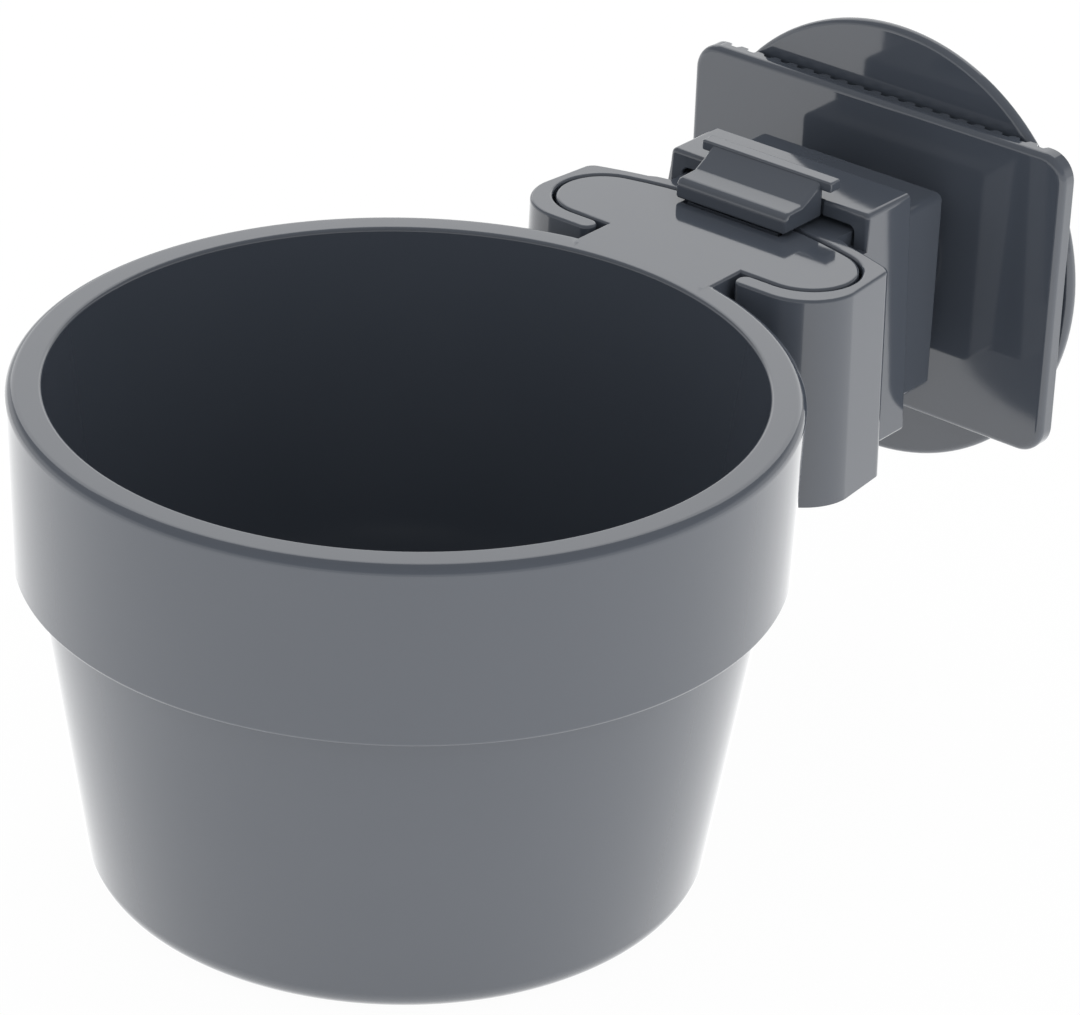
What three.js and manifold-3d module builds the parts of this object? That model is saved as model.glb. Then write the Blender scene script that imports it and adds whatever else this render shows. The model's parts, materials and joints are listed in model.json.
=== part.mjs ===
// Clamp-on feeding bowl for a wire cage: a bowl with a T-shaped tongue, a holder that the tongue drops into,
// a slide latch over the tongue, and a screw clamp that grips the cage wires between a toothed plate and a
// disc. Millimetres, +Z up, +Y from the bowl towards the cage. The origin is on the clamp screw's axis, in the
// plane of the plate's tooth crests. The pieces are drawn about the bowl's axis, with the rim's top at Z = 0,
// and the whole assembly is then moved to that origin.

import * as THREE from 'three';
import { mergeVertices } from 'three/addons/utils/BufferGeometryUtils.js';
import Module from 'manifold-3d';

// Bowl
const RIM_RADIUS = 50;
const RIM_WIDTH = 4.6;
const RIM_OUTER_ROUND = 1;
const RIM_INNER_ROUND = 1.2;
const BAND_HEIGHT = 24.4;
const BAND_DRAFT = 0.66;
const BAND_STEP = 2.8;
const BAND_EDGE_ROUND = 0.5;
const BOWL_HEIGHT = 68.2;
const BASE_RADIUS = 40;
const BASE_ROUND = 3.9;
const BASE_WALL = 2.4;
const BOWL_FLOOR = 2.6;
const BOWL_FLOOR_ROUND = 6;

// Tongue on the bowl
const TONGUE_NECK_WIDTH = 22.4;
const TONGUE_NECK_REACH = 4.3;
const TONGUE_HEAD_WIDTH = 47.6;
const TONGUE_END_ROUND = 6.9;
const TONGUE_HEIGHT = 27;

// Clearances
const TONGUE_GAP = 0.4;
const SLIDE_GAP = 0.3;
const SEAM = 0.3;

// Holder
const HOLDER_SIDE_WALL = 2;
const HOLDER_REAR_WALL = 2;
const HOLDER_FLOOR = 2.7;
const HOLDER_FRONT_ROUND = 8;
const HOLDER_REAR_ROUND = 2;
const HOOK_THICKNESS = 2.9;
const HOOK_GAP = 0.8;

// Neck and the bridge over the latch
const NECK_TOP_WIDTH = 33.6;
const NECK_BOTTOM_WIDTH = 36.6;
const NECK_BELOW_HOLDER = 2.2;
const NECK_ROUND = 0.6;
const NECK_SHOULDER_DROP = 2.4;
const BRIDGE_SETBACK = 2.2;
const BRIDGE_DEPTH = 10;
const BRIDGE_RISE = 2.9;
const BRIDGE_ROOF = 2.3;
const BRIDGE_WALL = 2.2;
const BRIDGE_REAR_WALL = 2;
const BRIDGE_ROUND = 0.8;
const PLATFORM_DROP = 0.2;
const PLATFORM_SIDE_GAP = 0.4;
const NOTCH_SIDE_GAP = 0.4;

// Latch
const LATCH_WIDTH = 18.4;
const LATCH_LIFT = 0.4;
const LATCH_TRAVEL = 3.5;
const LIP_REACH = 4;
const LIP_HEIGHT = 3;
const LIP_ROUND = 0.7;
const LIP_TOP_DEPTH = 3.1;
const FINGER_FACE_DEPTH = 3.9;
const FINGER_FACE_RISE = 2.65;
const FINGER_FACE_HOLLOW = 0.7;
const FLANGE_DEPTH = 3.1;
const FLANGE_THICKNESS = 1;
const FLANGE_OVERHANG = 1.7;
const TAIL_LENGTH = 4.6;
const LEG_WIDTH = 1.7;
const LEG_SPLIT = 2.4;
const LEG_DEPTH = 3.6;
const LEG_BARB = 1.4;
const LEG_BARB_HEIGHT = 1.3;
const LEG_FLOOR = 2.4;

// Clamp plate with its stem and collar
const PLATE_WIDTH = 63;
const PLATE_HEIGHT = 45;
const PLATE_ROUND = 4;
const PLATE_WEB = 1.9;
const PLATE_STANDOFF = 4.8;
const TOOTH_PITCH = 2.9;
const TOOTH_HEIGHT = 0.9;
const TOOTH_CREST = 1;
const TOOTH_ROOT = 1;
const STEM_RADIUS = 10;
const COLLAR_WIDTH = 31.2;
const COLLAR_HEIGHT = 29.4;
const COLLAR_DEPTH = 9.4;
const COLLAR_ROUND = 1.2;

// Clamp screw and disc
const SCREW_DROP = 15.1;
const POST_RADIUS = 6;
const POST_REACH = 8.2;
const POST_GAP = 0.4;
const POST_TIP_GAP = 0.8;
const THREAD_PITCH = 3;
const THREAD_DEPTH = 0.8;
const THREAD_LENGTH = 21;
const THREAD_CREST = 0.8;
const THREAD_FLANK = 0.6;
const CLAMP_GAP = 0.5;
const DISC_RADIUS = 32.2;
const DISC_THICKNESS = 2;
const DISC_EDGE_ROUND = 0.7;
const DISC_HUB_RADIUS = 14;
const DISC_HUB_HEIGHT = 2;
const KNOB_RADIUS = 12;
const KNOB_THICKNESS = 3;
const WING_LENGTH = 36;
const WING_WIDTH = 9;
const WING_HEIGHT = 8;

// Screws that hold the neck to the collar
const SCREW_HEAD_RADIUS = 2.8;
const SCREW_HEAD_HEIGHT = 2.1;
const SCREW_HEAD_ROUND = 1;
const SCREW_HEAD_SINK = 2.8;
const SCREW_HEAD_CLEARANCE = 0.4;
const SCREW_RADIUS = 1.5;
const SCREW_BITE = 6;
const SCREW_POINT = 1.6;
const SCREW_ROW_SPACING = 15;
const SCREW_SLOT_WIDTH = 0.9;
const SCREW_SLOT_DEPTH = 0.9;

// Mesh fineness and the colours of the two materials
const BOWL_STEPS = 72;
const DISC_STEPS = 48;
const POST_STEPS = 24;
const SCREW_STEPS = 12;
const THREAD_STEPS = 16;
const ARC_SAG = 0.06;
const CUT_PAST = 2;
const GREY_PLASTIC = { color: 0x6a7078, roughness: 0.22, metalness: 0 };
const SCREW_STEEL = { color: 0xb8bcc0, roughness: 0.3, metalness: 1 };

// Places that follow from the sizes, as distances from the bowl's axis and heights from the rim's top
const rimInner = RIM_RADIUS - RIM_WIDTH;
const headFront = RIM_RADIUS + TONGUE_NECK_REACH;
const headHalf = TONGUE_HEAD_WIDTH / 2;
const endCentre = new THREE.Vector2(headHalf - TONGUE_END_ROUND, headFront + TONGUE_END_ROUND);
const headRear = endCentre.length() + TONGUE_END_ROUND;
const latchHalf = LATCH_WIDTH / 2;
const lipFront = headRear - LIP_REACH;
const pocketFloor = -TONGUE_HEIGHT - SEAM;
const holderBottom = pocketFloor - HOLDER_FLOOR;
const holderRear = headRear + TONGUE_GAP + HOLDER_REAR_WALL;
const bridgeFront = holderRear + BRIDGE_SETBACK;
const neckEnd = bridgeFront + BRIDGE_DEPTH;
const neckBottom = holderBottom - NECK_BELOW_HOLDER;
const flangeFront = lipFront + LIP_TOP_DEPTH + FINGER_FACE_DEPTH;
const flangeRear = flangeFront + FLANGE_DEPTH;
const tailEnd = flangeRear + TAIL_LENGTH - FLANGE_THICKNESS;
const collarFront = neckEnd + SEAM;
const collarRear = collarFront + COLLAR_DEPTH;
const plateFront = collarRear + PLATE_STANDOFF;
const toothRoots = plateFront + PLATE_WEB;
const gripPlane = toothRoots + TOOTH_HEIGHT;
const discFront = gripPlane + CLAMP_GAP;
const discRear = discFront + DISC_THICKNESS;
const knobFront = discRear + DISC_HUB_HEIGHT + SEAM;
const knobRear = knobFront + KNOB_THICKNESS;
const postTip = neckEnd - POST_REACH;
const boreRadius = POST_RADIUS + POST_GAP;
const screwSeat = headRear + SCREW_HEAD_SINK;
const screwTip = collarFront + SCREW_BITE;
const screwColumn = latchHalf + SCREW_HEAD_CLEARANCE + SEAM + SCREW_HEAD_RADIUS;
const screwHole = SCREW_RADIUS + SEAM;

const wasm = await Module();
wasm.setup();

// A closed geometry as a solid that can be joined and cut.
function solid(geometry) {
  const bare = new THREE.BufferGeometry();
  bare.setAttribute('position', geometry.getAttribute('position').clone());
  if (geometry.index) bare.setIndex(geometry.index.clone());
  const merged = mergeVertices(bare, 1e-4);
  const corners = merged.index.array;
  const triangles = [];
  for (let i = 0; i < corners.length; i += 3) {
    const [a, b, c] = [corners[i], corners[i + 1], corners[i + 2]];
    if (a !== b && b !== c && c !== a) triangles.push(a, b, c);
  }
  return new wasm.Manifold(new wasm.Mesh({
    numProp: 3,
    vertProperties: new Float32Array(merged.getAttribute('position').array),
    triVerts: new Uint32Array(triangles),
  }));
}

function join(first, ...others) {
  return others.reduce((whole, piece) => whole.add(piece), first);
}

function cut(first, ...others) {
  return others.reduce((whole, piece) => whole.subtract(piece), first);
}

// A named mesh with its own material from a solid.
function mesh(name, body, look) {
  const { numProp, vertProperties, triVerts } = body.getMesh();
  const count = vertProperties.length / numProp;
  const positions = new Float32Array(count * 3);
  for (let i = 0; i < count; i++) {
    for (let k = 0; k < 3; k++) positions[i * 3 + k] = vertProperties[i * numProp + k];
  }
  const geometry = new THREE.BufferGeometry();
  geometry.setAttribute('position', new THREE.BufferAttribute(positions, 3));
  geometry.setIndex(new THREE.BufferAttribute(new Uint32Array(triVerts), 1));
  geometry.computeVertexNormals();
  const result = new THREE.Mesh(geometry, new THREE.MeshStandardMaterial(look));
  result.name = name;
  return result;
}

function box([x0, x1], [y0, y1], [z0, z1]) {
  const geometry = new THREE.BoxGeometry(x1 - x0, y1 - y0, z1 - z0);
  return solid(geometry.translate((x0 + x1) / 2, (y0 + y1) / 2, (z0 + z1) / 2));
}

// A round bar along Y.
function bar(radius, [y0, y1], x, z, steps) {
  const geometry = new THREE.CylinderGeometry(radius, radius, y1 - y0, steps);
  return solid(geometry.translate(x, (y0 + y1) / 2, z));
}

// Points along an arc, with both ends; its chords stay within the sag.
function arc(centre, radius, from, to) {
  const step = 2 * Math.acos(Math.max(0, 1 - ARC_SAG / radius));
  const steps = Math.max(1, Math.ceil(Math.abs(to - from) / step));
  return Array.from({ length: steps + 1 }, (_, i) => {
    const angle = from + (to - from) * i / steps;
    return new THREE.Vector2(centre.x + radius * Math.cos(angle), centre.y + radius * Math.sin(angle));
  });
}

// Outline points from corners [x, y, radius]; a radius rounds its corner, as far as its sides are long.
function rounded(corners, closed = true) {
  const points = corners.map(([x, y]) => new THREE.Vector2(x, y));
  return corners.flatMap(([, , radius = 0], i) => {
    const corner = points[i];
    const isEnd = !closed && (i === 0 || i === corners.length - 1);
    if (!radius || isEnd) return [corner];
    const before = points[(i + points.length - 1) % points.length].clone().sub(corner);
    const after = points[(i + 1) % points.length].clone().sub(corner);
    const half = before.angleTo(after) / 2;
    const reach = Math.min(radius / Math.tan(half), before.length() / 2, after.length() / 2);
    const size = reach * Math.tan(half);
    before.normalize();
    after.normalize();
    const centre = before.clone().add(after).normalize().multiplyScalar(size / Math.sin(half)).add(corner);
    const start = before.multiplyScalar(reach).add(corner).sub(centre).angle();
    const end = after.multiplyScalar(reach).add(corner).sub(centre).angle();
    const turn = Math.atan2(Math.sin(end - start), Math.cos(end - start));
    return arc(centre, size, start, start + turn);
  });
}

function drawn(outline, depth) {
  return new THREE.ExtrudeGeometry(new THREE.Shape(outline), { depth, bevelEnabled: false });
}

// An outline in X and Y, drawn up from one height to another.
function upright(outline, [z0, z1]) {
  return solid(drawn(outline, z1 - z0).translate(0, 0, z0));
}

// An outline in Y and Z, drawn along X.
function across(outline, [x0, x1]) {
  const toX = new THREE.Matrix4().set(0, 0, 1, x0, 1, 0, 0, 0, 0, 1, 0, 0, 0, 0, 0, 1);
  return solid(drawn(outline, x1 - x0).applyMatrix4(toX));
}

// An outline in X and Z, drawn along Y.
function along(outline, [y0, y1]) {
  return solid(drawn(outline, y1 - y0).rotateX(Math.PI / 2).translate(0, y1, 0));
}

// A profile of radius and height, turned about the vertical axis.
function turnedUpright(profile) {
  return solid(new THREE.LatheGeometry(profile, BOWL_STEPS).rotateX(Math.PI / 2));
}

// A profile of radius and distance along Y, turned about the clamp screw's axis.
function turnedOnScrew(profile, steps) {
  return solid(new THREE.LatheGeometry(profile, steps).translate(0, 0, -SCREW_DROP));
}

function mirrored(points) {
  return points.map((point) => new THREE.Vector2(-point.x, point.y)).reverse();
}

// The tongue's plan, seen from above: a neck, a head with round ends, a rear edge round the bowl's axis, and
// a key way in that rear edge. The pocket in the holder has the same plan with its clearances.
function tonguePlan(root, neckHalf, front, endRound, rear, keyHalf, keyFront) {
  const endAngle = endCentre.angle();
  const right = [
    new THREE.Vector2(neckHalf, root),
    new THREE.Vector2(neckHalf, front),
    ...arc(endCentre, endRound, -Math.PI / 2, endAngle),
    ...arc(new THREE.Vector2(), rear, endAngle, Math.acos(keyHalf / rear)).slice(1),
    new THREE.Vector2(keyHalf, keyFront),
  ];
  return [...right, ...mirrored(right)];
}

function makeBowl() {
  const bandBottom = RIM_RADIUS - BAND_DRAFT;
  const outside = turnedUpright(rounded([
    [0, -BOWL_HEIGHT],
    [BASE_RADIUS, -BOWL_HEIGHT, BASE_ROUND],
    [bandBottom - BAND_STEP, -BAND_HEIGHT],
    [bandBottom, -BAND_HEIGHT, BAND_EDGE_ROUND],
    [RIM_RADIUS, 0, RIM_OUTER_ROUND],
    [0, 0],
  ], false));
  const innerFloor = -BOWL_HEIGHT + BOWL_FLOOR;
  const inside = turnedUpright([
    ...rounded([
      [0, innerFloor],
      [BASE_RADIUS - BASE_WALL, innerFloor, BOWL_FLOOR_ROUND],
      [rimInner, -RIM_INNER_ROUND],
    ], false),
    ...arc(new THREE.Vector2(rimInner + RIM_INNER_ROUND, -RIM_INNER_ROUND), RIM_INNER_ROUND,
      Math.PI, Math.PI / 2).slice(1),
    new THREE.Vector2(rimInner + RIM_INNER_ROUND, CUT_PAST),
    new THREE.Vector2(0, CUT_PAST),
  ]);
  const keyHalf = latchHalf + SLIDE_GAP;
  const plan = tonguePlan(rimInner - BAND_STEP, TONGUE_NECK_WIDTH / 2, headFront, TONGUE_END_ROUND, headRear,
    keyHalf, lipFront - SLIDE_GAP);
  return cut(join(outside, upright(plan, [-TONGUE_HEIGHT, 0])), inside);
}

// The neck with its bridge: walls and a roof over the latch's tail, a notch for the latch, and a platform.
function makeNeck(start) {
  const topHalf = NECK_TOP_WIDTH / 2;
  const bottomHalf = NECK_BOTTOM_WIDTH / 2;
  const block = along(rounded([
    [-bottomHalf, neckBottom, NECK_ROUND],
    [bottomHalf, neckBottom, NECK_ROUND],
    [topHalf, BRIDGE_RISE, BRIDGE_ROUND],
    [-topHalf, BRIDGE_RISE, BRIDGE_ROUND],
  ]), [start, neckEnd]);
  const shoulder = -NECK_SHOULDER_DROP;
  const above = BRIDGE_RISE + CUT_PAST;
  const bayHalf = topHalf - BRIDGE_WALL;
  const bayEnd = neckEnd - BRIDGE_REAR_WALL;
  const notchHalf = latchHalf + NOTCH_SIDE_GAP;
  const ahead = box([-bottomHalf, bottomHalf], [start - CUT_PAST, bridgeFront], [shoulder, above]);
  const bay = box([-bayHalf, bayHalf], [start, bayEnd], [shoulder, BRIDGE_RISE - BRIDGE_ROOF]);
  const notch = box([-notchHalf, notchHalf], [start, tailEnd + SLIDE_GAP], [-PLATFORM_DROP, above]);
  const platformHalf = bayHalf - PLATFORM_SIDE_GAP;
  const platform = box([-platformHalf, platformHalf], [start, bayEnd + CUT_PAST / 2],
    [shoulder - CUT_PAST, -PLATFORM_DROP]);
  return join(cut(block, ahead, bay, notch), platform);
}

// Where the latch's legs stand at rest, and the heights of the floor that their barbs catch under.
const legsRear = tailEnd - SLIDE_GAP;
const legsFront = legsRear - LEG_DEPTH;
const legHalf = LEG_SPLIT / 2 + LEG_WIDTH;
const legFloorBottom = -PLATFORM_DROP - LEG_FLOOR;
const barbTop = legFloorBottom - SLIDE_GAP;
const barbBottom = barbTop - LEG_BARB_HEIGHT;

function screwPlaces() {
  const rows = [-SCREW_DROP + SCREW_ROW_SPACING / 2, -SCREW_DROP - SCREW_ROW_SPACING / 2];
  return rows.flatMap((z) => [-screwColumn, screwColumn].map((x) => ({ x, z })));
}

function makeHolder() {
  const front = headFront - TONGUE_GAP - HOOK_THICKNESS;
  const flank = headHalf + TONGUE_GAP + HOLDER_SIDE_WALL;
  const rearCorner = Math.acos(flank / holderRear);
  const rear = arc(new THREE.Vector2(), holderRear, rearCorner, Math.PI - rearCorner).slice(1, -1);
  const outline = rounded([
    [-flank, holderRear * Math.sin(rearCorner), HOLDER_REAR_ROUND],
    [-flank, front, HOLDER_FRONT_ROUND],
    [flank, front, HOLDER_FRONT_ROUND],
    [flank, holderRear * Math.sin(rearCorner), HOLDER_REAR_ROUND],
    ...rear.map(({ x, y }) => [x, y]),
  ]);
  const neckStart = Math.sqrt(holderRear ** 2 - (NECK_BOTTOM_WIDTH / 2) ** 2);
  const body = join(upright(outline, [holderBottom, 0]), makeNeck(neckStart));
  const plan = tonguePlan(front - CUT_PAST, TONGUE_NECK_WIDTH / 2 + HOOK_GAP, headFront - TONGUE_GAP,
    TONGUE_END_ROUND + TONGUE_GAP, headRear + TONGUE_GAP, latchHalf, lipFront);
  const pocket = upright(plan, [pocketFloor, CUT_PAST]);
  const slotY = [legsFront - LATCH_TRAVEL - SLIDE_GAP, legsRear + SLIDE_GAP];
  const slotHalf = legHalf + SLIDE_GAP;
  const legSlot = box([-slotHalf, slotHalf], slotY, [legFloorBottom - CUT_PAST / 2, 0]);
  const barbRoom = slotHalf + LEG_BARB;
  const barbHall = box([-barbRoom, barbRoom], slotY, [barbBottom - SLIDE_GAP, legFloorBottom]);
  const postBore = bar(boreRadius, [postTip - POST_TIP_GAP, neckEnd + CUT_PAST], 0, -SCREW_DROP, POST_STEPS);
  const screwBores = screwPlaces().flatMap(({ x, z }) => [
    bar(screwHole, [screwSeat - CUT_PAST, neckEnd + CUT_PAST], x, z, SCREW_STEPS),
    bar(SCREW_HEAD_RADIUS + SEAM, [endCentre.y, screwSeat], x, z, SCREW_STEPS),
  ]);
  return cut(body, pocket, legSlot, barbHall, postBore, ...screwBores);
}

function makeLatch() {
  const lipTop = LATCH_LIFT + LIP_HEIGHT;
  const faceFront = lipFront + LIP_TOP_DEPTH;
  const top = lipTop + FINGER_FACE_RISE;
  const flangeBottom = top - FLANGE_THICKNESS;
  const face = new THREE.QuadraticBezierCurve(
    new THREE.Vector2(faceFront, lipTop),
    new THREE.Vector2(faceFront + FINGER_FACE_DEPTH / 2 + FINGER_FACE_HOLLOW,
      lipTop + FINGER_FACE_RISE / 2 - FINGER_FACE_HOLLOW),
    new THREE.Vector2(flangeFront, top),
  ).getPoints(8);
  const tailTop = BRIDGE_RISE - SLIDE_GAP;
  const stemRear = flangeRear - FLANGE_THICKNESS;
  const profile = [
    new THREE.Vector2(lipFront, LATCH_LIFT),
    new THREE.Vector2(tailEnd, LATCH_LIFT),
    new THREE.Vector2(tailEnd, tailTop),
    new THREE.Vector2(stemRear, tailTop),
    new THREE.Vector2(stemRear, flangeBottom),
    new THREE.Vector2(flangeRear, flangeBottom),
    new THREE.Vector2(flangeRear, top),
    ...face.reverse(),
    ...arc(new THREE.Vector2(lipFront + LIP_ROUND, lipTop - LIP_ROUND), LIP_ROUND, Math.PI / 2, Math.PI),
  ];
  const flangeHalf = latchHalf + FLANGE_OVERHANG;
  const flange = box([-flangeHalf, flangeHalf], [flangeFront, flangeRear], [flangeBottom, top]);
  const leg = [
    new THREE.Vector2(LEG_SPLIT / 2, tailTop),
    new THREE.Vector2(LEG_SPLIT / 2, barbBottom),
    new THREE.Vector2(legHalf, barbBottom),
    new THREE.Vector2(legHalf + LEG_BARB, barbTop),
    new THREE.Vector2(legHalf, barbTop),
    new THREE.Vector2(legHalf, tailTop),
  ];
  const legs = [leg, mirrored(leg)].map((outline) => along(outline, [legsFront, legsRear]));
  return join(across(profile, [-latchHalf, latchHalf]), flange, ...legs);
}

function makeClampPlate() {
  const halfWidth = PLATE_WIDTH / 2;
  const halfHeight = PLATE_HEIGHT / 2;
  const face = rounded([
    [-halfWidth, -SCREW_DROP - halfHeight, PLATE_ROUND],
    [halfWidth, -SCREW_DROP - halfHeight, PLATE_ROUND],
    [halfWidth, -SCREW_DROP + halfHeight, PLATE_ROUND],
    [-halfWidth, -SCREW_DROP + halfHeight, PLATE_ROUND],
  ]);
  const gapHalf = (TOOTH_PITCH - TOOTH_CREST) / 2;
  const gapsEachSide = Math.floor((halfWidth - PLATE_ROUND) / TOOTH_PITCH);
  const gaps = Array.from({ length: 2 * gapsEachSide + 1 }, (_, i) => {
    const middle = (i - gapsEachSide) * TOOTH_PITCH;
    return [
      new THREE.Vector2(middle - gapHalf, gripPlane),
      new THREE.Vector2(middle - TOOTH_ROOT / 2, toothRoots),
      new THREE.Vector2(middle + TOOTH_ROOT / 2, toothRoots),
      new THREE.Vector2(middle + gapHalf, gripPlane),
    ];
  }).flat();
  const section = [
    new THREE.Vector2(-halfWidth - CUT_PAST, plateFront),
    new THREE.Vector2(-halfWidth - CUT_PAST, gripPlane),
    ...gaps,
    new THREE.Vector2(halfWidth + CUT_PAST, gripPlane),
    new THREE.Vector2(halfWidth + CUT_PAST, plateFront),
  ].reverse();
  const height = [-SCREW_DROP - halfHeight - CUT_PAST, -SCREW_DROP + halfHeight + CUT_PAST];
  const plate = along(face, [plateFront, gripPlane + CUT_PAST]).intersect(upright(section, height));
  const collarHalf = COLLAR_WIDTH / 2;
  const collarTop = -SCREW_DROP + COLLAR_HEIGHT / 2;
  const collarBottom = collarTop - COLLAR_HEIGHT;
  const collar = along(rounded([
    [-collarHalf, collarBottom, COLLAR_ROUND],
    [collarHalf, collarBottom, COLLAR_ROUND],
    [collarHalf, collarTop, COLLAR_ROUND],
    [-collarHalf, collarTop, COLLAR_ROUND],
  ]), [collarFront, collarRear]);
  const stemY = [collarFront + COLLAR_DEPTH / 2, plateFront + PLATE_WEB / 2];
  const stem = bar(STEM_RADIUS, stemY, 0, -SCREW_DROP, POST_STEPS);
  const boreY = [collarFront - CUT_PAST, gripPlane + CUT_PAST];
  const bore = bar(boreRadius, boreY, 0, -SCREW_DROP, POST_STEPS);
  const pilotY = [collarFront - CUT_PAST, screwTip + SEAM];
  const pilots = screwPlaces().map(({ x, z }) => bar(screwHole, pilotY, x, z, SCREW_STEPS));
  return cut(join(plate, stem, collar), bore, ...pilots);
}

function makeClampDisc() {
  const profile = rounded([
    [boreRadius, discFront],
    [DISC_RADIUS, discFront, DISC_EDGE_ROUND],
    [DISC_RADIUS, discRear, DISC_EDGE_ROUND],
    [DISC_HUB_RADIUS, discRear, DISC_EDGE_ROUND],
    [DISC_HUB_RADIUS, discRear + DISC_HUB_HEIGHT, DISC_EDGE_ROUND],
    [boreRadius, discRear + DISC_HUB_HEIGHT],
  ]);
  return turnedOnScrew([...profile, profile[0]], DISC_STEPS);
}

// The screw's thread: a ridge on a helix, with its foot inside the post.
function makeThread(core) {
  const turns = THREAD_LENGTH / THREAD_PITCH;
  const steps = Math.round(turns * THREAD_STEPS);
  const start = postTip + THREAD_PITCH;
  const foot = core - THREAD_DEPTH / 2;
  const halfCrest = THREAD_CREST / 2;
  const halfFoot = halfCrest + THREAD_FLANK;
  const section = [[foot, -halfFoot], [POST_RADIUS, -halfCrest], [POST_RADIUS, halfCrest], [foot, halfFoot]];
  const positions = [];
  const triangles = [];
  for (let i = 0; i <= steps; i++) {
    const angle = i / THREAD_STEPS * 2 * Math.PI;
    for (const [radius, offset] of section) {
      positions.push(radius * Math.cos(angle), start + i / THREAD_STEPS * THREAD_PITCH + offset,
        -SCREW_DROP - radius * Math.sin(angle));
    }
  }
  const sides = section.length;
  for (let i = 0; i < steps; i++) {
    for (let k = 0; k < sides; k++) {
      const a = i * sides + k;
      const b = i * sides + (k + 1) % sides;
      triangles.push(a, a + sides, b, b, a + sides, b + sides);
    }
  }
  const last = steps * sides;
  triangles.push(0, 1, 2, 0, 2, 3, last, last + 2, last + 1, last, last + 3, last + 2);
  const geometry = new THREE.BufferGeometry();
  geometry.setAttribute('position', new THREE.Float32BufferAttribute(positions, 3));
  geometry.setIndex(triangles);
  return solid(geometry);
}

function makeClampScrew() {
  const core = POST_RADIUS - THREAD_DEPTH;
  const shank = turnedOnScrew(rounded([
    [0, postTip],
    [core, postTip, THREAD_DEPTH],
    [core, knobFront],
    [KNOB_RADIUS, knobFront, DISC_EDGE_ROUND],
    [KNOB_RADIUS, knobRear, DISC_EDGE_ROUND],
    [0, knobRear],
  ], false), POST_STEPS);
  const halfLength = WING_LENGTH / 2;
  const halfWidth = WING_WIDTH / 2;
  const wing = along(rounded([
    [-halfLength, -SCREW_DROP - halfWidth, halfWidth],
    [halfLength, -SCREW_DROP - halfWidth, halfWidth],
    [halfLength, -SCREW_DROP + halfWidth, halfWidth],
    [-halfLength, -SCREW_DROP + halfWidth, halfWidth],
  ]), [knobRear - KNOB_THICKNESS / 2, knobRear + WING_HEIGHT]);
  return join(shank, makeThread(core), wing);
}

function makeNeckScrew({ x, z }) {
  const headTop = screwSeat - SEAM - SCREW_HEAD_HEIGHT;
  const profile = rounded([
    [0, headTop],
    [SCREW_HEAD_RADIUS, headTop, SCREW_HEAD_ROUND],
    [SCREW_HEAD_RADIUS, screwSeat - SEAM],
    [SCREW_RADIUS, screwSeat - SEAM],
    [SCREW_RADIUS, screwTip - SCREW_POINT],
    [0, screwTip],
  ], false);
  const turned = solid(new THREE.LatheGeometry(profile, SCREW_STEPS).translate(x, 0, z));
  const halfSlot = SCREW_SLOT_WIDTH / 2;
  const slotY = [headTop - CUT_PAST, headTop + SCREW_SLOT_DEPTH];
  const slotReach = SCREW_HEAD_RADIUS - SCREW_HEAD_ROUND;
  const level = box([x - slotReach, x + slotReach], slotY, [z - halfSlot, z + halfSlot]);
  const plumb = box([x - halfSlot, x + halfSlot], slotY, [z - slotReach, z + slotReach]);
  return cut(turned, level, plumb);
}

const assembly = new THREE.Group();
assembly.add(mesh('bowl', makeBowl(), GREY_PLASTIC));
assembly.add(mesh('holder', makeHolder(), GREY_PLASTIC));
assembly.add(mesh('latch_slide', makeLatch(), GREY_PLASTIC));
assembly.add(mesh('clamp_plate', makeClampPlate(), GREY_PLASTIC));
assembly.add(mesh('clamp_disc', makeClampDisc(), GREY_PLASTIC));
assembly.add(mesh('clamp_screw', makeClampScrew(), GREY_PLASTIC));
screwPlaces().forEach((place, i) => {
  assembly.add(mesh(`neck_screw_${i + 1}`, makeNeckScrew(place), SCREW_STEEL));
});
assembly.position.set(0, -gripPlane, SCREW_DROP);

const feedingBowl = new THREE.Group();
feedingBowl.add(assembly);

export default feedingBowl;
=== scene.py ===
"""Clamp-on feeding bowl: the looks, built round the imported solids.

Places are drawn about the bowl's axis, with the rim's top at height zero, and moved to the frame from there.
Lengths are in metres, and length() makes them from millimetres.
"""

import json
import math

import bmesh
import bpy
from bpy.props import FloatProperty, FloatVectorProperty, IntProperty, PointerProperty
from bpy.types import NodeSocket, Operator, Panel, PropertyGroup
from mathutils import Matrix, Vector


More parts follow.
